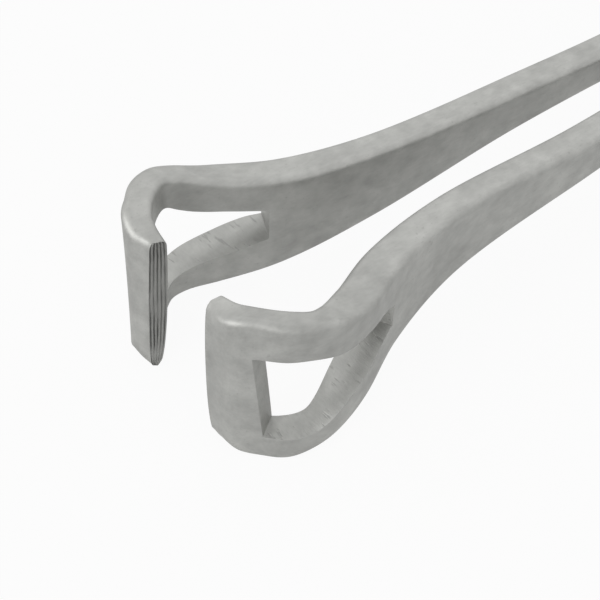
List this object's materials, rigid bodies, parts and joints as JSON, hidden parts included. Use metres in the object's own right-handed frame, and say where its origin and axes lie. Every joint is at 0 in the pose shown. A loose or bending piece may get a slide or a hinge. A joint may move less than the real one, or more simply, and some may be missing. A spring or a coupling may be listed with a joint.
{
  "type": "babcock forceps",
  "caption": "Ring-handled tissue forceps with a box lock, a ratchet and windowed jaws that hook in to grooved contact faces.",
  "frame": {"origin": "on the pivot pin's axis, half way through the box lock", "axes": "+X from the pivot to the jaws, +Z along the pivot pin, +Y from the tongue half's jaw to the box half's jaw"},
  "size_m": [0.159, 0.0656, 0.009],
  "materials": {
    "satin_steel": "satin, glass-beaded",
    "pin_steel": "satin"
  },
  "bodies": {
    "box_body": {"box_half": "satin_steel", "pivot_pin": "pin_steel"},
    "tongue_body": {"tongue_half": "satin_steel"}
  },
  "joints": [
    {"name": "pivot", "type": "hinge", "parent": "box_body", "child": "tongue_body", "pos_m": [0, 0, 0], "axis": [0, 0, -1], "range_deg": [-4.74, 54]}
  ]
}
